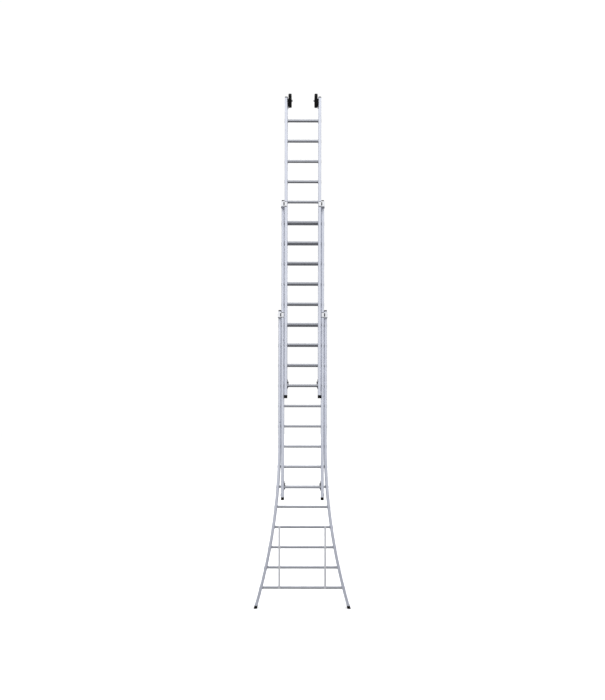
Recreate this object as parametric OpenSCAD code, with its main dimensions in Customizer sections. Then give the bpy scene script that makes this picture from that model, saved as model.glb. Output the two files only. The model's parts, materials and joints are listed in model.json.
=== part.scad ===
// Three-section push-up extension ladder with a flared foot and wall wheels.
// Millimetres, +Z up.  The front of the ladder faces -Y and X runs across it.
// The origin lies on the floor, in the middle of the ladder's bounding box.
// Sections are numbered 0 (lower), 1 (middle) and 2 (upper).

/* [Sections] */
// Height between one rung and the next
rung_pitch = 250; // [240:1:260]
// Rungs on each section
rung_count = 14; // [13:1:15]
// Rung levels by which each section is raised above the one below
raised_levels = 5; // [4:1:6]
// Length of a section beyond its first and last rungs, foot and cap together
section_spare = 440; // [430:5:480]
// Height of the first rung above the foot of the middle and upper sections
first_rung_h = 155; // [150:1:165]
// Width of the lower section above its flare
lower_w = 602; // [590:1:640]
// How far each section steps in from the one below, on each side
step_in = 39; // [39:0.5:41]
// Distance from one section's plane to the next, front to back
plane_gap = 46; // [46:0.5:50]

/* [Stiles] */
// Width of a stile
stile_w = 36; // [34:0.5:36]
// Depth of a stile
stile_d = 60; // [56:0.5:60]
// Corner radius of a stile
stile_r = 9; // [7:0.5:12]
// Wall of a stile
stile_wall = 2; // [1.6:0.1:2.4]
// Height at which the lower stiles start to curve outward
flare_top = 2050; // [2030:5:2100]
// Radius of that curve, on the stile's centreline
flare_r = 7240; // [7000:10:8000]

/* [Rungs] */
// Height and depth of a rung
rung_size = 28; // [26:0.5:28]
// Radius of a rung's top corners
rung_r = 4; // [3:0.5:5]
// Radius of a rung's bottom corners
rung_low_r = 11; // [8:0.5:12]
// Wall of a rung
rung_wall = 1.8; // [1.6:0.1:2]
// Anti-slip grooves along the top of a rung
groove_count = 5; // [3:1:6]

/* [Feet and caps] */
// Height of a foot's sleeve around the stile
foot_h = 36; // [30:1:42]
// Rubber below the end of the stile
sole_h = 12; // [8:1:16]
// Height of the cap on top of a stile
cap_h = 16; // [12:1:16]

/* [Wall wheels] */
// Diameter of a wall wheel
wheel_d = 145; // [130:1:150]
// Width of a wall wheel
wheel_w = 38; // [34:1:38]
// Diameter of the wheel's hub
hub_d = 98; // [90:1:104]
// Height of the wheel's axle above the top rung
axle_above_rung = 250; // [240:1:255]
// Diameter of the axle bolt
axle_d = 12; // [10:0.5:14]

/* [Hooks] */
// Thickness of a rung hook
hook_t = 7; // [6:0.5:8]
// Diameter of the pin that a hook turns on
hook_pin_d = 8; // [7:0.5:9]

/* [Hidden] */

$fn = 48;
curve_fn = 1440;
touch = 0.01;
play = 0.06;
sides = [-1, 1];

// Colours of the ladder's materials
aluminium = "#d4d5dd";
rung_metal = "#bfc0c7";
bright_metal = "#e3e4e8";
zinc = "#6f7276";
black_plastic = "#1e1e20";
grey_plastic = "#56585c";
pale_nylon = "#cfd0cf";

// Section planes, set so that the ladder is centred on Y between the front
// of the wheels and the back of the feet
foot_grow = 1.6;
sleeve_gap = 0.1;
spigot_h = 8;
spigot_in = stile_wall + 0.25;
back_reach = stile_d / 2 + foot_grow;
front_reach = 2 * plane_gap + wheel_d / 2;
lower_y = (front_reach - back_reach) / 2;
section_h = (rung_count - 1) * rung_pitch + section_spare;
flared_rungs = 8;
flare_angle = asin((flare_top + 40) / flare_r);

function plane_y(s) = lower_y - s * plane_gap;
function stile_x(s) = (lower_w - stile_w) / 2 - s * step_in;
function outer_x(s) = stile_x(s) + stile_w / 2;
function inner_x(s) = stile_x(s) - stile_w / 2;
function rung_z(s, n) = rung_pitch * (n + raised_levels * s);
function foot_z(s) = s == 0 ? 0 : rung_z(s, 1) - first_rung_h;
function top_z(s) = foot_z(s) + section_h;

// Swaged collars where a rung passes through a stile
collar_size = rung_size + 6;
collar_t = 2.4;
collar_gap = 0.03;
groove_w = 1.4;
groove_deep = 0.6;

// Guide brackets
guide_wall = 3;
guide_low = 102;
guide_high = 40;
arm_low = 98;
arm_high = 48;
arm_cover = 30;
liner_t = 3;
liner_play = 0.5;
liner_over = 7;
liner_grip = 18;
rib_w = 14;
rib_end = 4;
guide_back = 8;
guide_front = plane_gap + stile_d / 2 + liner_play + liner_t + guide_wall;
bolt_y = -8;
bolt_drops = [53, 85];
bolt_d = 6;
bolt_head_h = 4.5;

// Glide rails
rail_w = 24;
rail_d = (stile_d - rung_size) / 2;
rail_wall = 2;
rail_rungs = 4;
rail_over = 12;
rail_rivet_d = 5;

// Rung hooks.  Places are measured from the centre of the section's own
// first rung, as [y, z]; the rung that the hook holds is plane_gap behind it
plate_t = 4;
plate_low = 42;
plate_high = 75;
plate_y = [-14, 28];
plate_window = collar_size + 2;
hook_pivot = [12, 40];
hook_boss_r = 12;
hook_gap = 0.5;
hook_stand = 2.6;
hook_in = plate_t + hook_stand + hook_t;
hook_rest = rung_size / 2 + 0.3;
hook_reach = rung_size / 2 + 0.8;
hook_tip_t = 7;
hook_tip_low = 2;
pin_head_h = 3;
hook_rivets = [[-5, 60], [20, 64], [-7, -30], [21, -30]];
rivet_d = 5;
gusset_y = [0, 14];
gusset_out = 15;
gusset_low = 37;
gusset_gap = 0.3;

// Guide lugs at the feet of the sliding sections
lug_out = 7;
lug_h = 40;
lug_above_foot = 40;
lug_depth = 20;
lug_gap = 1;
lug_lead = 6;

// Wall wheels
bracket_t = 8;
bracket_w = 50;
bracket_over = 15;
bracket_under = 85;
wheel_gap = 1;
axle_z = rung_z(2, rung_count) + axle_above_rung;
wheel_x = inner_x(2) - bracket_t - wheel_gap - wheel_w / 2;
nut_h = 10;
bracket_bolt_z = [-72, -42];
bolt_recess_d = 10.6;

// Blanking plugs in the left stiles
plug_d = 10;
lower_plug = [4, rung_z(0, 9) + 50];
middle_plug = [4, rung_z(1, 8) + 58];

// ---------- shared shapes ----------

module rounded_rect(w, d, r) {
    square([w - 2 * r, d], center = true);
    square([w, d - 2 * r], center = true);
    for (x = [-1, 1], y = [-1, 1])
        translate([x * (w / 2 - r), y * (d / 2 - r)]) circle(r);
}

// Draws the children on the right, or their mirror image on the left
module on_side(side) {
    if (side > 0) children();
    else mirror([1, 0, 0]) children();
}

module on_both_sides() {
    for (side = sides) on_side(side) children();
}

// Extrudes a profile along X, its own x running along Y and its y along Z
module along_x(from, to) {
    translate([from, 0, 0]) rotate([90, 0, 90]) linear_extrude(to - from) children();
}

module rod_x(from, to, d) {
    translate([from, 0, 0]) rotate([0, 90, 0]) cylinder(d = d, h = to - from);
}

// A rung's section, flat on top with larger rounds along the bottom
module rung_outline(grow) {
    half = rung_size / 2 + grow;
    top_r = rung_r + grow;
    low_r = rung_low_r + grow;
    translate([low_r - half, -half]) square([2 * (half - low_r), 2 * half]);
    translate([-half, low_r - half]) square([2 * half, 2 * half - low_r - top_r]);
    translate([top_r - half, 0]) square([2 * (half - top_r), half]);
    for (y = [-1, 1]) {
        translate([y * (half - top_r), half - top_r]) circle(top_r);
        translate([y * (half - low_r), low_r - half]) circle(low_r);
    }
}

module stile_outline(grow) {
    rounded_rect(stile_w + 2 * grow, stile_d + 2 * grow, stile_r + grow);
}

// A stile's centreline curve, swept with the children as its cross-section
module along_flare() {
    translate([stile_x(0) + flare_r, 0, flare_top])
        rotate([90, 0, 0]) rotate([0, 0, 180])
            rotate_extrude(angle = flare_angle, $fn = curve_fn)
                translate([flare_r, 0]) children();
}

// Places the children on the flare's curve of radius r at height z, with Z along the stile
module at_flare(r, z) {
    lean = asin((flare_top - z) / r);
    translate([stile_x(0) + flare_r - r * cos(lean), 0, z]) rotate([0, -lean, 0]) children();
}

module level_slab(from, to) {
    translate([-lower_w, -stile_d, from]) cube([4 * lower_w, 2 * stile_d, to - from]);
}

// ---------- stiles ----------

module rung_holes(s, from, to) {
    for (n = [1:rung_count])
        translate([0, 0, rung_z(s, n)]) along_x(from, to) rung_outline(play);
}

module guide_bolt_holes(s) {
    for (drop = bolt_drops)
        translate([0, bolt_y, top_z(s) - drop])
            rod_x(stile_x(s), outer_x(s) + touch, bolt_d);
}

module plug_hole(s, place) {
    translate([stile_x(s) - place[0], -stile_d / 2 + stile_wall + touch, place[1]])
        rotate([90, 0, 0]) cylinder(d = plug_d, h = stile_wall + 2 * touch);
}

module hook_rivet_holes(s) {
    for (p = concat(hook_rivets, [hook_pivot]))
        translate([0, p[0], rung_z(s, 1) + p[1]])
            rod_x(inner_x(s) - touch, stile_x(s), p == hook_pivot ? hook_pin_d : rivet_d);
}

module straight_tube(s, from, to) {
    translate([stile_x(s), 0, from]) linear_extrude(to - from) difference() {
        stile_outline(0);
        stile_outline(-stile_wall);
    }
}

module lower_stile(side) {
    color(aluminium) on_side(side) translate([0, plane_y(0), 0]) difference() {
        union() {
            straight_tube(0, flare_top, top_z(0) - cap_h);
            intersection() {
                along_flare() difference() {
                    stile_outline(0);
                    stile_outline(-stile_wall);
                }
                level_slab(sole_h, flare_top);
            }
        }
        rung_holes(0, inner_x(0) - 20, lower_w * 1.2);
        guide_bolt_holes(0);
        if (side < 0) plug_hole(0, lower_plug);
    }
}

module middle_stile(side) {
    color(aluminium) on_side(side) translate([0, plane_y(1), 0]) difference() {
        straight_tube(1, foot_z(1) + sole_h, top_z(1) - cap_h);
        rung_holes(1, inner_x(1) - 20, outer_x(1) + 20);
        guide_bolt_holes(1);
        hook_rivet_holes(1);
        if (side < 0) plug_hole(1, middle_plug);
    }
}

module upper_stile(side) {
    color(aluminium) on_side(side) translate([0, plane_y(2), 0]) difference() {
        straight_tube(2, foot_z(2) + sole_h, top_z(2) - cap_h);
        rung_holes(2, inner_x(2) - 20, outer_x(2) + 20);
        hook_rivet_holes(2);
        translate([0, 0, axle_z]) rod_x(inner_x(2) - touch, stile_x(2), axle_d);
        for (z = bracket_bolt_z)
            translate([0, 0, axle_z + z]) rod_x(inner_x(2) - touch, stile_x(2), bolt_d);
    }
}

// ---------- rungs ----------

// Grooves are cut in the top face, so a rung is solid metal to walk on
module rung_cuts(half) {
    along_x(-half, half) rung_outline(-rung_wall);
    spread = rung_size - 2 * rung_r - groove_w;
    for (i = [0:groove_count - 1])
        translate([-half, -spread / 2 + i * spread / (groove_count - 1) - groove_w / 2,
                   rung_size / 2 - groove_deep])
            cube([2 * half, groove_w, 1]);
}

module straight_rung(s) {
    end = outer_x(s) + collar_t;
    difference() {
        union() {
            along_x(-end, end) rung_outline(0);
            on_both_sides() {
                along_x(outer_x(s), end) rounded_rect(collar_size, collar_size, rung_r + 3);
                along_x(inner_x(s) - collar_t, inner_x(s))
                    rounded_rect(collar_size, collar_size, rung_r + 3);
            }
        }
        rung_cuts(end + 1);
    }
}

module straight_rungs(s, first) {
    color(rung_metal) for (n = [first:rung_count])
        translate([0, plane_y(s), rung_z(s, n)]) straight_rung(s);
}

// A rung between the curved stiles: its ends and collars lean as the stiles do
module flared_rung(n) {
    z = rung_z(0, n);
    inner_r = flare_r + stile_w / 2;
    outer_r = flare_r - stile_w / 2;
    color(rung_metal) translate([0, plane_y(0), 0]) difference() {
        union() {
            translate([0, 0, z]) along_x(-lower_w, lower_w) rung_outline(0);
            on_both_sides() {
                at_flare(inner_r, z) along_x(-collar_t - collar_gap, -collar_gap)
                    rounded_rect(collar_size, collar_size, rung_r + 3);
                at_flare(outer_r, z) along_x(collar_gap, collar_gap + collar_t)
                    rounded_rect(collar_size, collar_size, rung_r + 3);
            }
        }
        on_both_sides() at_flare(outer_r, z)
            along_x(collar_gap + collar_t, lower_w) square(4 * collar_size, center = true);
        translate([0, 0, z]) rung_cuts(lower_w + 1);
    }
}

// ---------- feet, caps and plugs ----------

module leaning_stile(grow, from, to) {
    intersection() {
        at_flare(flare_r, foot_h / 2) linear_extrude(6 * foot_h, center = true)
            stile_outline(grow);
        level_slab(from, to);
    }
}

module lower_foot(side) {
    color(black_plastic) on_side(side) translate([0, plane_y(0), 0]) {
        difference() {
            leaning_stile(foot_grow, 0, foot_h);
            leaning_stile(sleeve_gap, sole_h, 2 * foot_h);
        }
        leaning_stile(-spigot_in, sole_h - touch, foot_h + spigot_h);
    }
}

module sliding_feet(s) {
    grow = 0.8;
    color(black_plastic) on_both_sides() translate([stile_x(s), plane_y(s), foot_z(s)]) {
        difference() {
            linear_extrude(foot_h) stile_outline(grow);
            translate([0, 0, sole_h]) linear_extrude(foot_h) stile_outline(0);
        }
        linear_extrude(foot_h + spigot_h) stile_outline(-spigot_in);
    }
}

module stile_caps(s) {
    chamfer = 4;
    color(grey_plastic) on_both_sides() translate([stile_x(s), plane_y(s), top_z(s) - cap_h]) {
        linear_extrude(cap_h - chamfer) stile_outline(0);
        hull() {
            translate([0, 0, cap_h - chamfer - touch])
                linear_extrude(touch) stile_outline(0, $fn = 32);
            translate([0, 0, cap_h - touch])
                linear_extrude(touch) stile_outline(-chamfer, $fn = 32);
        }
        translate([0, 0, -spigot_h]) linear_extrude(spigot_h + touch) stile_outline(-spigot_in);
    }
}

module stile_plug(s, place) {
    color(black_plastic) on_side(-1) {
        translate([stile_x(s) - place[0], plane_y(s) - stile_d / 2 + stile_wall, place[1]])
            rotate([90, 0, 0]) cylinder(d = plug_d, h = stile_wall);
        translate([stile_x(s) - place[0], plane_y(s) - stile_d / 2 + stile_wall + 3, place[1]])
            rotate([90, 0, 0]) cylinder(d = plug_d - 2, h = 3 + touch);
    }
}

// ---------- glide rails on the flared foot ----------

module glide_rail(side) {
    low = rung_z(0, 1) - rail_over;
    high = rung_z(0, rail_rungs) + rail_over;
    color(bright_metal) on_side(side) difference() {
        translate([stile_x(0) - rail_w / 2, plane_y(0) - stile_d / 2, low])
            cube([rail_w, rail_d, high - low]);
        translate([stile_x(0) - rail_w / 2 + rail_wall, plane_y(0) - stile_d / 2 - 1, low - 1])
            cube([rail_w - 2 * rail_wall, rail_d - rail_wall + 1, high - low + 2]);
        for (n = [1:rail_rungs])
            translate([stile_x(0), plane_y(0), rung_z(0, n)]) rotate([90, 0, 0])
                cylinder(d = rail_rivet_d, h = stile_d);
    }
}

module glide_rail_rivets() {
    face = rung_size / 2 + rail_wall;
    color(zinc) on_both_sides() for (n = [1:rail_rungs])
        translate([stile_x(0), plane_y(0) - face, rung_z(0, n)]) rotate([90, 0, 0]) {
            translate([0, 0, -rail_wall]) cylinder(d = rail_rivet_d, h = rail_wall);
            rivet_head(9, 2.2);
        }
}

// A low domed head standing on z = 0
module rivet_head(d, h) {
    ball = (d * d / 4 + h * h) / (2 * h);
    intersection() {
        translate([0, 0, h - ball]) sphere(ball);
        cylinder(d = d + 1, h = h + 1);
    }
}

// ---------- guide brackets at the tops of the lower and middle sections ----------

module guide_bracket(s, side) {
    top = top_z(s);
    box_in = outer_x(s + 1);
    arm_in = box_in - arm_cover;
    color(bright_metal) on_side(side) translate([0, plane_y(s), 0]) difference() {
        union() {
            translate([outer_x(s), -guide_front, top - guide_low])
                cube([guide_wall, guide_front + guide_back, guide_low - guide_high]);
            translate([box_in, -guide_front, top - guide_low])
                cube([outer_x(s) - box_in + touch, guide_wall, guide_low - guide_high]);
            translate([arm_in, -guide_front, top - arm_low])
                cube([arm_cover + touch, guide_wall, arm_low - arm_high]);
        }
        translate([box_in, -guide_front - 1, top - arm_low + rib_end])
            cube([rib_w, guide_wall + 2, arm_low - arm_high - 2 * rib_end]);
        for (drop = bolt_drops)
            translate([0, bolt_y, top - drop])
                rod_x(outer_x(s) - 1, outer_x(s) + guide_wall + 1, bolt_d);
    }
}

// The black liner that the next section slides on, with a rib through the arm's slot
module guide_liners(s) {
    top = top_z(s);
    box_in = outer_x(s + 1);
    color(black_plastic) on_both_sides() translate([0, plane_y(s), 0]) {
        translate([box_in - arm_cover, -guide_front + guide_wall, top - arm_low - liner_over / 2])
            cube([arm_cover + liner_grip, liner_t, arm_low - arm_high + 1.5 * liner_over]);
        translate([box_in + play, -guide_front, top - arm_low + rib_end + play])
            cube([rib_w - 2 * play, guide_wall + touch,
                  arm_low - arm_high - 2 * rib_end - 2 * play]);
    }
}

module guide_bolts(s) {
    color(zinc) on_both_sides() for (drop = bolt_drops)
        translate([outer_x(s), plane_y(s) + bolt_y, top_z(s) - drop]) {
            rod_x(-stile_wall - 4, guide_wall, bolt_d);
            rod_x(guide_wall, guide_wall + 1, 14);
            rod_x(guide_wall + 1, guide_wall + 1 + bolt_head_h, 11, $fn = 6);
            rod_x(-stile_wall - 5, -stile_wall, 11, $fn = 6);
        }
}

// ---------- rung hooks at the feet of the middle and upper sections ----------

// The gusset beneath the rung tapers down to the plate
module hook_gusset(s) {
    under = -rung_size / 2 - gusset_gap;
    translate([inner_x(s), gusset_y[1], 0]) rotate([90, 0, 0])
        linear_extrude(gusset_y[1] - gusset_y[0])
            polygon([
                [-plate_t + touch, under],
                [-gusset_out, under],
                [-gusset_out, under - 3],
                [-plate_t + touch, -gusset_low],
            ]);
}

module hook_plate(s, side) {
    z = rung_z(s, 1);
    w = plate_y[1] - plate_y[0];
    color(zinc) on_side(side) translate([0, plane_y(s), z]) {
        difference() {
            along_x(inner_x(s) - plate_t, inner_x(s))
                translate([plate_y[0] + w / 2, (plate_high - plate_low) / 2])
                    rounded_rect(w, plate_high + plate_low, 6);
            translate([inner_x(s) - plate_t - 1, -plate_window, -plate_window / 2])
                cube([plate_t + 2, 1.5 * plate_window, plate_window]);
            for (p = hook_rivets)
                translate([0, p[0], p[1]]) rod_x(inner_x(s) - plate_t - 1, outer_x(s), rivet_d);
            translate([0, hook_pivot[0], hook_pivot[1]])
                rod_x(inner_x(s) - plate_t - 1, outer_x(s), hook_pin_d);
        }
        hook_gusset(s);
    }
}

module hook_plate_rivets(s) {
    color(zinc) on_both_sides() for (p = hook_rivets)
        translate([inner_x(s), plane_y(s) + p[0], rung_z(s, 1) + p[1]]) {
            rod_x(-plate_t, stile_wall, rivet_d);
            translate([-plate_t, 0, 0]) rotate([0, -90, 0]) rivet_head(9, 2.2);
        }
}

// Each pin has a shoulder that holds the hook clear of the rivet heads
module hook_pins(s) {
    color(zinc) on_both_sides()
        translate([inner_x(s), plane_y(s) + hook_pivot[0], rung_z(s, 1) + hook_pivot[1]]) {
            rod_x(-hook_in - hook_gap, stile_wall, hook_pin_d);
            rod_x(-plate_t - hook_stand + hook_gap, -plate_t, hook_pin_d + 5);
            rod_x(-hook_in - hook_gap - pin_head_h, -hook_in - hook_gap, hook_pin_d + 6);
            rod_x(stile_wall, stile_wall + 3, hook_pin_d + 5);
        }
}

// The hook lies over the rung behind it, with its nose down behind that rung
module rung_hook(s, side) {
    held = plane_gap;
    out = held + hook_reach + hook_tip_t;
    color(black_plastic) on_side(side) translate([0, plane_y(s), rung_z(s, 1)])
        along_x(inner_x(s) - hook_in, inner_x(s) - plate_t - hook_stand)
            difference() {
                union() {
                    translate(hook_pivot) circle(hook_boss_r);
                    polygon([
                        [hook_pivot[0] - 3, hook_pivot[1] - hook_boss_r + 0.4],
                        [held - hook_reach, hook_rest],
                        [held + hook_reach, hook_rest],
                        [held + hook_reach, -hook_tip_low],
                        [out, -hook_tip_low],
                        [out, hook_rest + 5],
                        [held + 8, hook_rest + 18],
                        [hook_pivot[0] + 3, hook_pivot[1] + hook_boss_r - 0.4],
                    ]);
                }
                translate(hook_pivot) circle(d = hook_pin_d + 2 * play);
            }
}

// Blocks that hold the sliding section's foot in front of the stile outside it
module guide_lugs(s) {
    back = plane_gap - stile_d / 2 - lug_gap;
    color(pale_nylon) on_both_sides()
        translate([outer_x(s), plane_y(s), foot_z(s) + lug_above_foot])
            difference() {
                translate([0, back - lug_depth, 0]) cube([lug_out, lug_depth, lug_h]);
                for (z = [0, lug_h])
                    translate([lug_out, back - lug_depth / 2, z]) rotate([0, 45, 0])
                        cube([lug_lead, lug_depth + 1, lug_lead], center = true);
            }
}

// ---------- wall wheels ----------

module at_axle() {
    translate([0, plane_y(2), axle_z]) children();
}

module wheel_bracket(side) {
    in = inner_x(2) - bracket_t;
    color(black_plastic) on_side(side) at_axle() difference() {
        along_x(in, inner_x(2)) translate([0, (bracket_over - bracket_under) / 2])
            rounded_rect(bracket_w, bracket_over + bracket_under, 10);
        rod_x(in - 1, inner_x(2) + 1, axle_d);
        for (z = bracket_bolt_z) translate([0, 0, z]) {
            rod_x(in - 1, inner_x(2) + 1, bolt_d);
            rod_x(in - 1, in + bolt_head_h, bolt_recess_d);
        }
    }
}

// Socket-headed bolts, sunk in the bracket so that they clear the wheel
module wheel_bracket_bolts() {
    in = inner_x(2) - bracket_t;
    nut = inner_x(2) + stile_wall;
    color(zinc) on_both_sides() at_axle() for (z = bracket_bolt_z) translate([0, 0, z]) {
        rod_x(in + bolt_head_h, nut, bolt_d);
        difference() {
            rod_x(in + 0.3, in + bolt_head_h, 10);
            rod_x(in, in + 3, 5.8, $fn = 6);
        }
        rod_x(nut, nut + 5, 11, $fn = 6);
    }
}

module wheel_axles() {
    end = wheel_x - wheel_w / 2 - wheel_gap - nut_h - 2;
    head = inner_x(2) + stile_wall;
    color(zinc) on_both_sides() at_axle() {
        rod_x(end, head, axle_d);
        rod_x(head, head + 6, 20, $fn = 6);
    }
}

module wheel_axle_nuts() {
    face = wheel_x - wheel_w / 2 - wheel_gap;
    color(zinc) on_both_sides() at_axle() difference() {
        union() {
            rod_x(face - 2, face, 26);
            rod_x(face - nut_h, face - 2, 20, $fn = 6);
        }
        rod_x(face - nut_h - 1, face + 1, axle_d);
    }
}

// Solid tyre with rounded shoulders and a shallow groove on each side of the tread
module wheel_tyre(side) {
    r = wheel_d / 2;
    shoulder = 9;
    color(black_plastic) on_side(side) at_axle() translate([wheel_x, 0, 0]) rotate([0, 90, 0])
        rotate_extrude($fn = 96) difference() {
            union() {
                translate([hub_d / 2, -wheel_w / 2]) square([r - shoulder - hub_d / 2, wheel_w]);
                translate([hub_d / 2, -wheel_w / 2 + shoulder])
                    square([r - hub_d / 2, wheel_w - 2 * shoulder]);
                for (e = [-1, 1])
                    translate([r - shoulder, e * (wheel_w / 2 - shoulder)]) circle(shoulder);
            }
            for (e = [-1, 1])
                translate([r, e * 6]) circle(1.2);
        }
}

module wheel_hub(side) {
    bore = axle_d / 2 + play;
    boss_r = 17;
    rim_in = hub_d / 2 - 7;
    web = 10;
    color(black_plastic) on_side(side) at_axle() translate([wheel_x, 0, 0]) rotate([0, 90, 0])
        difference() {
            rotate_extrude($fn = 96) {
                translate([bore, -wheel_w / 2]) square([boss_r - bore, wheel_w]);
                translate([boss_r - 1, -web / 2]) square([rim_in - boss_r + 2, web]);
                translate([rim_in, -wheel_w / 2 + 1]) square([hub_d / 2 - rim_in, wheel_w - 2]);
            }
            for (a = [0:60:300])
                rotate([0, 0, a]) translate([(boss_r + rim_in) / 2, 0, -web])
                    cylinder(d = 15, h = 2 * web);
        }
}

lower_stile(-1);  // left_lower_stile
lower_stile(1);  // right_lower_stile
flared_rung(1);  // lower_rung_01
flared_rung(2);  // lower_rung_02
flared_rung(3);  // lower_rung_03
flared_rung(4);  // lower_rung_04
flared_rung(5);  // lower_rung_05
flared_rung(6);  // lower_rung_06
flared_rung(7);  // lower_rung_07
flared_rung(8);  // lower_rung_08
straight_rungs(0, flared_rungs + 1);  // lower_straight_rungs
lower_foot(-1);  // left_lower_foot
lower_foot(1);  // right_lower_foot
stile_caps(0);  // lower_stile_caps
glide_rail(-1);  // left_glide_rail
glide_rail(1);  // right_glide_rail
glide_rail_rivets();
guide_bracket(0, -1);  // left_lower_guide_bracket
guide_bracket(0, 1);  // right_lower_guide_bracket
guide_liners(0);  // lower_guide_liners
guide_bolts(0);  // lower_guide_bolts
stile_plug(0, lower_plug);  // lower_stile_plug
middle_stile(-1);  // left_middle_stile
middle_stile(1);  // right_middle_stile
straight_rungs(1, 1);  // middle_rungs
sliding_feet(1);  // middle_feet
stile_caps(1);  // middle_stile_caps
guide_bracket(1, -1);  // left_middle_guide_bracket
guide_bracket(1, 1);  // right_middle_guide_bracket
guide_liners(1);  // middle_guide_liners
guide_bolts(1);  // middle_guide_bolts
hook_plate(1, -1);  // left_middle_hook_plate
hook_plate(1, 1);  // right_middle_hook_plate
hook_plate_rivets(1);  // middle_hook_rivets
hook_pins(1);  // middle_hook_pins
rung_hook(1, -1);  // left_middle_hook
rung_hook(1, 1);  // right_middle_hook
guide_lugs(1);  // middle_guide_lugs
stile_plug(1, middle_plug);  // middle_stile_plug
upper_stile(-1);  // left_upper_stile
upper_stile(1);  // right_upper_stile
straight_rungs(2, 1);  // upper_rungs
sliding_feet(2);  // upper_feet
stile_caps(2);  // upper_stile_caps
hook_plate(2, -1);  // left_upper_hook_plate
hook_plate(2, 1);  // right_upper_hook_plate
hook_plate_rivets(2);  // upper_hook_rivets
hook_pins(2);  // upper_hook_pins
rung_hook(2, -1);  // left_upper_hook
rung_hook(2, 1);  // right_upper_hook
guide_lugs(2);  // upper_guide_lugs
wheel_bracket(-1);  // left_wheel_bracket
wheel_bracket(1);  // right_wheel_bracket
wheel_bracket_bolts();
wheel_axles();
wheel_axle_nuts();
wheel_tyre(-1);  // left_wheel_tyre
wheel_tyre(1);  // right_wheel_tyre
wheel_hub(-1);  // left_wheel_hub
wheel_hub(1);  // right_wheel_hub
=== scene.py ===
"""Looks for the three-section push-up ladder: finishes, softened edges, studio and camera."""
import json
import math

import bmesh
import bpy
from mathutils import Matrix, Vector


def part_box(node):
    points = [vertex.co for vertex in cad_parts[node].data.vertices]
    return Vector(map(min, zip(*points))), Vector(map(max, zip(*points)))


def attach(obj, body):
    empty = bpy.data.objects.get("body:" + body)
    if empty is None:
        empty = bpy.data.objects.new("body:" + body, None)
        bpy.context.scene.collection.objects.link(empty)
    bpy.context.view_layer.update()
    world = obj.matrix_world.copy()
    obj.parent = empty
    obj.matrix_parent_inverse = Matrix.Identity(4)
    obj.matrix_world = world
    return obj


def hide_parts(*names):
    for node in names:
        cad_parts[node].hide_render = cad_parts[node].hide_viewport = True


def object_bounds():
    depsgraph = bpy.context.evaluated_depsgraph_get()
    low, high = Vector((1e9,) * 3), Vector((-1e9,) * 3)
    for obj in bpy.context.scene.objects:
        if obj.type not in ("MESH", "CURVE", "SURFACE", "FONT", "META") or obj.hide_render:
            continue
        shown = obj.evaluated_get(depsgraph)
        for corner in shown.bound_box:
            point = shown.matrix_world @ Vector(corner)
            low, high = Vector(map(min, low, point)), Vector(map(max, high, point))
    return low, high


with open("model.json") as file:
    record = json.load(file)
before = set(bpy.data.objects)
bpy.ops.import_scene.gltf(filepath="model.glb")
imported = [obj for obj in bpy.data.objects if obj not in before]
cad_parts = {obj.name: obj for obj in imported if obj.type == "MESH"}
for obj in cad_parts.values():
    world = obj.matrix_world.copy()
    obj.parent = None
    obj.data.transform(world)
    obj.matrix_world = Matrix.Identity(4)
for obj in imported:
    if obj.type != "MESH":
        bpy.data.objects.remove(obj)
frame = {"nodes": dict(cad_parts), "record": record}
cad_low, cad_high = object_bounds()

nodes = frame["nodes"]
record = frame["record"]
slot_of = {s["node"]: s["material_slot"] for s in record["subparts"]}
body_of = {n: b for b, members in record["behaviour"]["bodies"].items() for n in members}


# ---------------------------------------------------------------- materials

class Graph:
    """A node tree, with short calls for the few nodes that the finishes use."""

    def __init__(self, tree, coords="Object"):
        self.tree = tree
        self.tree.nodes.clear()
        self.coords = self.tree.nodes.new("ShaderNodeTexCoord").outputs[coords]

    def part(self, kind, **inputs):
        """A node of one kind with its sockets set, or linked where a socket is given."""
        node = self.tree.nodes.new("ShaderNode" + kind)
        for name, value in inputs.items():
            socket = node.inputs[name.replace("_", " ")]
            if isinstance(value, bpy.types.NodeSocket):
                self.tree.links.new(value, socket)
            else:
                socket.default_value = value
        return node

    def stretched(self, scale):
        """The coordinates in metres, multiplied by scale along each axis."""
        return self.part("Mapping", Scale=scale, Vector=self.coords).outputs["Vector"]

    def noise(self, scale, detail=3.0, rough=0.55):
        """Noise with about scale features to a metre, one figure or one for each axis."""
        if isinstance(scale, (int, float)):
            scale = (scale, scale, scale)
        return self.part("TexNoise", Scale=1.0, Detail=detail, Roughness=rough,
                         Vector=self.stretched(scale)).outputs["Fac"]

    def cells(self, scale):
        """Random colours in cells, with about scale of them to a metre."""
        return self.part("TexVoronoi", Scale=1.0,
                         Vector=self.stretched((scale, scale, scale))).outputs["Color"]

    def remap(self, value, low, high, to_low, to_high):
        """The value with low to high carried over to to_low to to_high, and clamped there."""
        return self.part("MapRange", Value=value, From_Min=low, From_Max=high,
                         To_Min=to_low, To_Max=to_high).outputs["Result"]

    def math(self, operation, a, b):
        node = self.tree.nodes.new("ShaderNodeMath")
        node.operation = operation
        for socket, value in zip(node.inputs, (a, b)):
            if isinstance(value, (int, float)):
                socket.default_value = value
            else:
                self.tree.links.new(value, socket)
        return node.outputs[0]

    def mix(self, factor, a, b):
        """From colour a where the factor is 0 to colour b where it is 1."""
        node = self.tree.nodes.new("ShaderNodeMix")
        node.data_type = "RGBA"
        self.tree.links.new(factor, node.inputs[0])
        for socket, value in ((node.inputs[6], a), (node.inputs[7], b)):
            if isinstance(value, (tuple, list)):
                socket.default_value = (*value, 1.0)
            else:
                self.tree.links.new(value, socket)
        return node.outputs[2]

    def place(self, axis):
        """The coordinate along one axis."""
        return self.part("SeparateXYZ", Vector=self.coords).outputs[axis]


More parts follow.
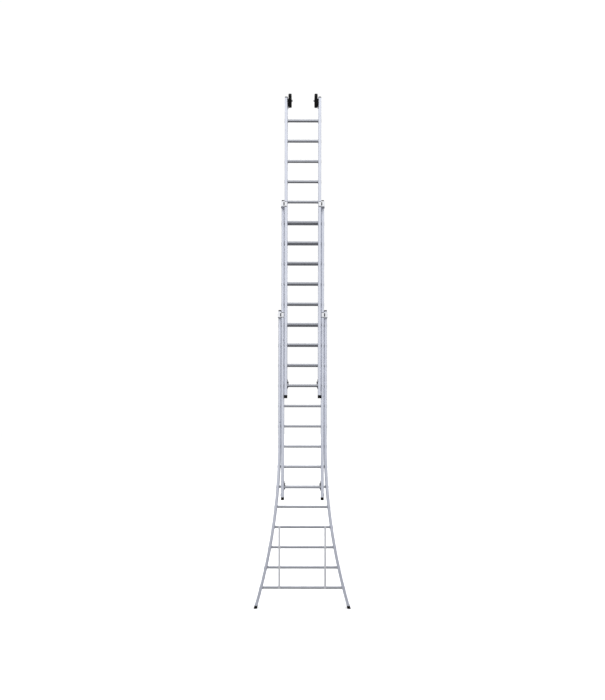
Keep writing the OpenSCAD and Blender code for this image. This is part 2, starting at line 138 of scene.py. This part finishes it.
class Finish(Graph):
    """A material with one Principled shader."""

    def __init__(self, name):
        self.material = bpy.data.materials.new(name)
        self.material.use_nodes = True
        super().__init__(self.material.node_tree)
        self.shader = self.part("BsdfPrincipled")
        self.part("OutputMaterial", Surface=self.shader.outputs["BSDF"])
        self.normal = self.part("NewGeometry").outputs["Normal"]

    def set(self, **values):
        for name, value in values.items():
            self.shader.inputs[name.replace("_", " ")].default_value = value

    def link(self, output, socket):
        self.tree.links.new(output, self.shader.inputs[socket])

    def facing(self, axis):
        """How far the surface faces along an axis, from -1 to 1."""
        return self.part("SeparateXYZ", Vector=self.normal).outputs[axis]

    def bump(self, *layers):
        """Each layer is (height, depth in metres, strength)."""
        for height, depth, strength in layers:
            node = self.part("Bump", Height=height, Distance=depth, Strength=strength)
            if self.shader.inputs["Normal"].is_linked:
                before = self.shader.inputs["Normal"].links[0].from_socket
                self.tree.links.new(before, node.inputs["Normal"])
            self.link(node.outputs["Normal"], "Normal")


def shade(colour, factor):
    return tuple(c * factor for c in colour)


def streaks(axis, across, along):
    """A noise scale with its own figure along one axis, so that the noise is drawn out there."""
    scale = [across] * 3
    scale[axis] = along
    return tuple(scale)


def drawn_metal(name, tone, along, rough, underside_shade=1.0, worn_span=None):
    """Extruded aluminium: die lines along one axis, faint oxide clouds and bright scratches.

    Faces that look down get painted shade: darker by the factor given, for the shade beneath.
    A worn_span is half the width in metres of a tread that feet have polished.
    """
    g = Finish(name)
    lines = g.noise(streaks(along, 1400.0, 2.0), 2.0)
    bands = g.noise(streaks(along, 170.0, 0.9), 2.0)
    clouds = g.noise(7.0, 4.0, 0.6)
    scratches = g.noise(streaks(along, 420.0, 16.0), 2.0, 0.4)
    scratches = g.remap(scratches, 0.66, 0.74, 0.0, 1.0)
    colour = g.mix(g.remap(bands, 0.35, 0.65, 0.0, 1.0), shade(tone, 0.93), shade(tone, 1.04))
    colour = g.mix(g.remap(clouds, 0.45, 0.7, 0.0, 0.35), colour, shade(tone, 0.86))
    colour = g.mix(g.math("MULTIPLY", scratches, 0.3), colour, shade(tone, 1.18))
    # painted shade: faces that look down are darkened to stand for the shade beneath them
    if underside_shade < 1.0:
        painted_shade_below = g.remap(g.facing(2), -0.25, -0.75, 0.0, 1.0)
        colour = g.mix(painted_shade_below, colour, shade(tone, underside_shade))
    roughness = g.math("ADD", g.remap(clouds, 0.3, 0.7, rough - 0.05, rough + 0.08),
                       g.math("MULTIPLY", g.math("SUBTRACT", lines, 0.5), 0.12))
    if worn_span:
        middle = g.remap(g.math("ABSOLUTE", g.place(0), 0.0), worn_span, 0.3 * worn_span, 0.0, 1.0)
        tread = g.math("MULTIPLY", middle, g.remap(g.facing(2), 0.4, 0.9, 0.0, 1.0))
        colour = g.mix(g.math("MULTIPLY", tread, 0.5), colour, shade(tone, 1.2))
        roughness = g.math("SUBTRACT", roughness, g.math("MULTIPLY", tread, 0.12))
    g.link(colour, "Base Color")
    g.link(roughness, "Roughness")
    g.set(Metallic=1.0)
    g.bump((lines, 0.00006, 0.5), (bands, 0.0002, 0.25), (scratches, 0.00004, 0.3))
    return g.material


def plated_steel(name, tone, rough):
    """Zinc plating: small crystalline patches, a yellow cast in places and fine pitting."""
    g = Finish(name)
    patches = g.cells(700.0)
    cast = g.noise(90.0, 3.0)
    grain = g.noise(2500.0, 2.0)
    yellowed = (tone[0], tone[1] * 0.97, tone[2] * 0.86)
    colour = g.mix(g.remap(cast, 0.4, 0.7, 0.0, 0.5), tone, yellowed)
    split = g.remap(patches, 0.0, 1.0, 0.0, 0.25)
    colour = g.mix(split, colour, shade(tone, 0.75))
    g.link(colour, "Base Color")
    g.link(g.remap(cast, 0.3, 0.7, rough - 0.06, rough + 0.1), "Roughness")
    g.set(Metallic=1.0)
    g.bump((grain, 0.00005, 0.4), (cast, 0.0003, 0.15))
    return g.material


def moulded_plastic(name, tone, rough, grain_size=1800.0, dust=0.06):
    """Moulded plastic: spark-eroded grain, slight flow marks and pale handling dust on top."""
    g = Finish(name)
    grain = g.noise(grain_size, 2.0)
    flow = g.noise((35.0, 35.0, 12.0), 3.0)
    specks = g.remap(g.noise(420.0, 3.0, 0.7), 0.62, 0.78, 0.0, 1.0)
    colour = g.mix(g.remap(flow, 0.35, 0.7, 0.0, 1.0), shade(tone, 0.8), shade(tone, 1.35))
    upward = g.remap(g.facing(2), 0.2, 1.0, 0.08, 1.0)
    dusty = g.math("MULTIPLY", g.math("MULTIPLY", specks, upward), dust * 6.0)
    colour = g.mix(dusty, colour, (0.32, 0.31, 0.30))
    g.set(Specular_IOR_Level=0.25)
    g.link(colour, "Base Color")
    g.link(g.remap(flow, 0.3, 0.7, rough - 0.05, rough + 0.07), "Roughness")
    g.bump((grain, 0.00008, 0.35), (flow, 0.0004, 0.1))
    return g.material


def moulded_rubber(name, tone, scuff_height=None):
    """Matt rubber: fine pores, grey bloom, and scuffs where it meets the floor."""
    g = Finish(name)
    pores = g.noise(1500.0, 3.0, 0.65)
    bloom = g.noise(26.0, 4.0, 0.6)
    colour = g.mix(g.remap(bloom, 0.4, 0.75, 0.0, 0.5), tone, (0.014, 0.0135, 0.013))
    g.set(Specular_IOR_Level=0.12)
    if scuff_height:
        low = g.remap(g.place(2), 0.0, scuff_height, 1.0, 0.0)
        marks = g.remap(g.noise((90.0, 90.0, 320.0), 3.0), 0.45, 0.7, 0.0, 0.7)
        colour = g.mix(g.math("MULTIPLY", low, marks), colour, (0.19, 0.18, 0.17))
    g.link(colour, "Base Color")
    g.link(g.remap(bloom, 0.3, 0.7, 0.72, 0.9), "Roughness")
    g.bump((pores, 0.00012, 0.45), (bloom, 0.0005, 0.12))
    return g.material


STILE_TONE = (0.66, 0.68, 0.75)
RUNG_TONE = (0.42, 0.43, 0.465)
BRIGHT_TONE = (0.84, 0.845, 0.865)

ALONG_X, ALONG_Z = 0, 2

finishes = {
    "stile_aluminium": drawn_metal("stile_aluminium", STILE_TONE, ALONG_Z, rough=0.42),
    # the rungs carry painted shade on the faces that look down
    "rung_aluminium": drawn_metal("rung_aluminium", RUNG_TONE, ALONG_X, rough=0.40,
                                  underside_shade=0.42, worn_span=0.2),
    "bright_aluminium": drawn_metal("bright_aluminium", BRIGHT_TONE, ALONG_Z, rough=0.33),
    "zinc_plated_steel": plated_steel("zinc_plated_steel", (0.33, 0.335, 0.35), rough=0.36),
    "plated_hook_steel": plated_steel("plated_hook_steel", (0.085, 0.085, 0.10), rough=0.45),
    "black_plastic": moulded_plastic("black_plastic", (0.005, 0.005, 0.006), rough=0.55,
                                     dust=0.02),
    "black_nylon": moulded_plastic("black_nylon", (0.009, 0.009, 0.011), rough=0.42,
                                   grain_size=2600.0, dust=0.02),
    "natural_nylon": moulded_plastic("natural_nylon", (0.42, 0.42, 0.43), rough=0.4,
                                     grain_size=2600.0, dust=0.02),
    "grey_cap_plastic": moulded_plastic("grey_cap_plastic", (0.035, 0.036, 0.040), rough=0.55),
    "foot_rubber": moulded_rubber("foot_rubber", (0.003, 0.003, 0.003), scuff_height=0.008),
    "tyre_rubber": moulded_rubber("tyre_rubber", (0.003, 0.003, 0.0034)),
}


def wear(obj, slot):
    obj.data.materials.clear()
    obj.data.materials.append(finishes[slot])


for name, obj in nodes.items():
    wear(obj, slot_of[name])


# ---------------------------------------------------------------- softened edges

SHARP = math.radians(35)  # an edge that turns more than this is a real edge
FLAT = math.radians(1.0)  # and one that turns less lies inside a flat face
WELD = 1e-6
BEVEL_STEPS = 3


def stand_in(name, ending, rework):
    """A copy of a CAD node, reworked as a bmesh and shown in the node's place."""
    data = nodes[name].data.copy()
    mesh = bmesh.new()
    mesh.from_mesh(data)
    bmesh.ops.remove_doubles(mesh, verts=mesh.verts, dist=WELD)
    rework(mesh)
    mesh.to_mesh(data)
    mesh.free()
    copy = bpy.data.objects.new(name + ending, data)
    copy.matrix_world = nodes[name].matrix_world
    bpy.context.scene.collection.objects.link(copy)
    wear(copy, slot_of[name])
    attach(copy, body_of[name])
    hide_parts(name)
    return copy


def soften(radius):
    """Rounds the sharp edges of a mesh, leaving its flat faces flat."""
    def rework(mesh):
        bmesh.ops.dissolve_limit(mesh, angle_limit=FLAT, verts=mesh.verts, edges=mesh.edges)
        turn = {e: e.calc_face_angle(0.0) for e in mesh.edges if len(e.link_faces) == 2}
        for face in mesh.faces:
            face.smooth = any(FLAT < turn.get(e, 0.0) < SHARP for e in face.edges)
        sharp = [e for e, angle in turn.items() if angle > SHARP]
        made = bmesh.ops.bevel(mesh, geom=sharp, offset=radius, segments=BEVEL_STEPS,
                               profile=0.5, affect="EDGES", clamp_overlap=True)
        for face in made["faces"]:
            face.smooth = True
    return rework


def all_smooth(mesh):
    for face in mesh.faces:
        face.smooth = True


def even_normals(data):
    """Shading normals averaged by area over the faces that meet at a gentle angle."""
    around = [[] for _ in data.vertices]
    for face in data.polygons:
        for vertex in face.vertices:
            around[vertex].append(face)
    gentle = math.cos(SHARP)
    normals = []
    for face in data.polygons:
        for vertex in face.vertices:
            near = [f for f in around[vertex] if f.normal.dot(face.normal) > gentle]
            normals.append(sum((f.normal * f.area for f in near), Vector()).normalized())
    data.normals_split_custom_set(normals)


# The radius in metres for the CAD nodes whose names end like this.
SOFT_EDGES = {
    "guide_bracket": 0.0009,
    "guide_lugs": 0.0016,
    "wheel_bracket": 0.0014,
    "glide_rail": 0.0006,
    "_hook": 0.0008,
    "hook_plate": 0.0005,
    "stile_caps": 0.0008,
}
for name in sorted(nodes):
    for ending, radius in SOFT_EDGES.items():
        if name.endswith(ending):
            stand_in(name, "_rounded", soften(radius))
for name in ("left_lower_stile", "right_lower_stile"):
    even_normals(stand_in(name, "_smooth", all_smooth).data)


# ---------------------------------------------------------------- studio

def matt(name, tone, rough):
    """A plain studio surface with a faint mottle."""
    g = Finish(name)
    g.link(g.mix(g.noise(3.0, 4.0), shade(tone, 0.985), tone), "Base Color")
    g.set(Roughness=rough)
    g.bump((g.noise(60.0, 3.0), 0.0004, 0.1))
    return g.material


FLOOR_RADIUS = 60.0
FLOOR_SIDES = 96


def make_floor():
    """A white disc under the feet, left out of reflections."""
    mesh = bmesh.new()
    bmesh.ops.create_circle(mesh, cap_ends=True, radius=FLOOR_RADIUS, segments=FLOOR_SIDES)
    data = bpy.data.meshes.new("studio_floor")
    mesh.to_mesh(data)
    mesh.free()
    floor = bpy.data.objects.new("studio_floor", data)
    floor.location.z = cad_low.z
    data.materials.append(matt("floor_white", (0.88, 0.88, 0.88), 0.85))
    floor.visible_glossy = False
    bpy.context.scene.collection.objects.link(floor)


def make_world():
    """Light from the front and overhead with dark flanks, seen by the camera as plain white."""
    world = bpy.data.worlds.new("studio_world")
    bpy.context.scene.world = world
    world.use_nodes = True
    g = Graph(world.node_tree, "Generated")
    front = g.remap(g.place(1), -1.0, 1.0, 0.0, 1.0)
    flank = g.remap(g.math("ABSOLUTE", g.place(0), 0.0), 0.5, 0.95, 0.0, 1.0)
    overhead = g.remap(g.place(2), 0.45, 0.95, 0.0, 1.0)
    beneath = g.remap(g.place(2), -0.05, -0.75, 0.0, 1.0)
    level = g.mix(front, (0.87, 0.88, 0.90), (0.70, 0.71, 0.74))
    level = g.mix(flank, level, (0.42, 0.43, 0.46))
    under = g.mix(front, (0.08, 0.08, 0.09), (0.85, 0.85, 0.87))
    level = g.mix(beneath, level, under)
    level = g.mix(overhead, level, (2.4, 2.4, 2.4))
    lit = g.part("Background", Color=level, Strength=1.0)
    seen = g.part("Background", Color=(1.0, 1.0, 1.0, 1.0), Strength=1.02)
    both = g.part("MixShader", Fac=g.part("LightPath").outputs["Is Camera Ray"])
    g.tree.links.new(lit.outputs[0], both.inputs[1])
    g.tree.links.new(seen.outputs[0], both.inputs[2])
    g.part("OutputWorld", Surface=both.outputs[0])


def add_light(name, place, target, size, power, tone=(1.0, 1.0, 1.0)):
    """A rectangular softbox of size metres and power watts, turned to a target."""
    data = bpy.data.lights.new(name, "AREA")
    data.shape = "RECTANGLE"
    data.size, data.size_y = size
    data.energy = power
    data.color = tone
    light = bpy.data.objects.new(name, data)
    light.location = place
    light.rotation_euler = (Vector(target) - Vector(place)).to_track_quat("-Z", "Y").to_euler()
    bpy.context.scene.collection.objects.link(light)


make_floor()
make_world()
mid = (cad_low + cad_high) / 2
height = cad_high.z - cad_low.z
add_light("left_softbox", (-4.0, -7.0, 0.62 * height), mid, size=(3.0, 6.0), power=75)
add_light("right_softbox", (4.4, -7.0, 0.58 * height), mid, size=(3.0, 6.0), power=67,
          tone=(0.97, 0.98, 1.0))
add_light("back_softbox", (0.8, 6.0, 1.1 * height), mid, size=(5.0, 4.0), power=70)


# ---------------------------------------------------------------- camera

SENSOR_LONG_SIDE_MM = 36.0
FOCAL_LENGTH_MM = 23.17
SHIFT_UP = 0.0927  # of the long side, which keeps the high top in view from a low eye
CAMERA_TO_LOWER_PLANE = 5.6
EYE_HEIGHT = 2.35
PITCH = math.radians(0.42)
ROLL = math.radians(-0.1)
FARTHEST_SEEN = 200.0

low_stile, high_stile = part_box("left_lower_stile")
plane_y = (low_stile.y + high_stile.y) / 2
lens = bpy.data.cameras.new("camera")
lens.sensor_width = SENSOR_LONG_SIDE_MM
lens.lens = FOCAL_LENGTH_MM
lens.shift_y = SHIFT_UP
lens.clip_end = FARTHEST_SEEN
camera = bpy.data.objects.new("camera", lens)
camera.location = (0.0, plane_y - CAMERA_TO_LOWER_PLANE, EYE_HEIGHT)
camera.rotation_euler = (math.pi / 2 + PITCH, ROLL, 0.0)
bpy.context.scene.collection.objects.link(camera)
bpy.context.scene.camera = camera
bpy.context.scene.view_settings.view_transform = "Standard"
